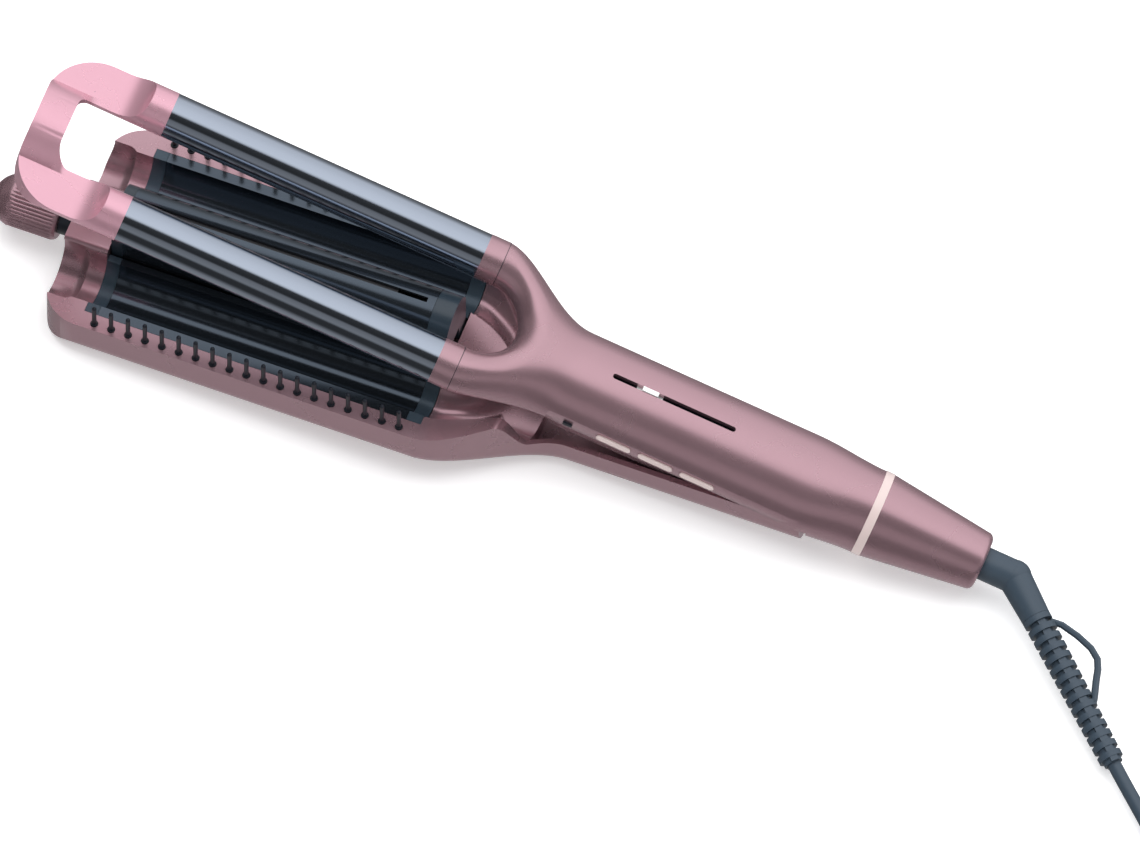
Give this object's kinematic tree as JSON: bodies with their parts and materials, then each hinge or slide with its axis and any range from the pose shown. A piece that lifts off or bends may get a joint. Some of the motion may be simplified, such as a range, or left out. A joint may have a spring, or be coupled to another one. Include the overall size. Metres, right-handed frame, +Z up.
{
  "type": "hair waver",
  "caption": "Corded hair waver with two hot barrels over a comb-edged jaw, a height-adjustable centre barrel and a squeeze lever.",
  "frame": {"origin": "centre of the bounding box's base, without the cord: the table under the middle of the open waver", "axes": "+X from the tip to the cord end, +Y to the side away from the viewer in the picture, +Z up from the table"},
  "size_m": [0.5637, 0.1783, 0.0872],
  "materials": {
    "rose_shell": "satin metallic lacquer",
    "rose_pad": "glossy",
    "hot_coating": "glossy ceramic coating",
    "blue_grey": "satin",
    "trough_end_grey": "satin",
    "dark_plastic": "matt",
    "cream_plastic": "satin",
    "white_plastic": "satin",
    "cord_rubber": "matt",
    "steel": "satin",
    "board_green": "matt",
    "mica": "matt",
    "tie_black": "matt"
  },
  "bodies": {
    "main_body": {"upper_shell": "rose_shell", "handle_core": "rose_shell", "barrel_near": "hot_coating", "barrel_far": "hot_coating", "barrel_heaters": "mica", "tip_bridge": "rose_pad", "barrel_collars": "rose_shell", "slider_plate": "dark_plastic", "control_board": "board_green", "side_strips": "cream_plastic", "trim_ring": "cream_plastic", "tail_cone": "rose_shell", "swivel_seat": "dark_plastic", "hinge_pin": "steel"},
    "lower_arm": {"lower_shell": "rose_shell", "jaw_tray": "rose_shell", "tip_cap": "rose_shell", "trough_near": "hot_coating", "trough_far": "hot_coating", "trough_ends": "trough_end_grey", "trough_heaters": "mica", "comb_near": "dark_plastic", "comb_far": "dark_plastic", "cam_bearings": "dark_plastic", "hinge_bracket": "steel", "base_screws": "steel", "lever_spring": "steel", "knob_bush": "dark_plastic"},
    "slider": {"temperature_slider": "white_plastic"},
    "centre_barrel": {"centre_hood": "hot_coating", "hood_ends": "blue_grey", "hood_carrier": "steel", "hood_heater": "mica"},
    "knob": {"depth_knob": "rose_shell", "cam_shaft": "steel"},
    "swivel": {"swivel_elbow": "cord_rubber", "strain_relief": "cord_rubber", "cord": "cord_rubber", "cord_tie": "tie_black", "plug": "blue_grey", "plug_pins": "steel"}
  },
  "joints": [
    {"name": "jaw_hinge", "type": "hinge", "parent": "main_body", "child": "lower_arm", "pos_m": [0.10743, 0, 0.01675], "axis": [0, 1, 0], "range_deg": [0, 12], "stiffness_Nm_per_rad": 1.2, "springref_deg": -25.78, "deforming": ["lever_spring"]},
    {"name": "temperature_slide", "type": "slide", "parent": "main_body", "child": "slider", "axis": [0.9908, 0, -0.1356], "range_m": [-0.0108, 0.029]},
    {"name": "depth_knob_turn", "type": "hinge", "parent": "lower_arm", "child": "knob", "pos_m": [-0.16699, 0, 0.01512], "axis": [0.9973, 0, 0.0733], "range_deg": [0, 180]},
    {"name": "centre_barrel_sink", "type": "slide", "parent": "lower_arm", "child": "centre_barrel", "axis": [0.0733, 0, -0.9973], "range_m": [0, 0.0054]},
    {"name": "cord_swivel", "type": "hinge", "parent": "main_body", "child": "swivel", "pos_m": [0.18593, 0, 0.01509], "axis": [0.9908, 0, -0.1356], "continuous": true}
  ],
  "couplings": [
    {"joint": "depth_knob_turn", "follows": "centre_barrel_sink", "rad_per_m": 581.77}
  ]
}
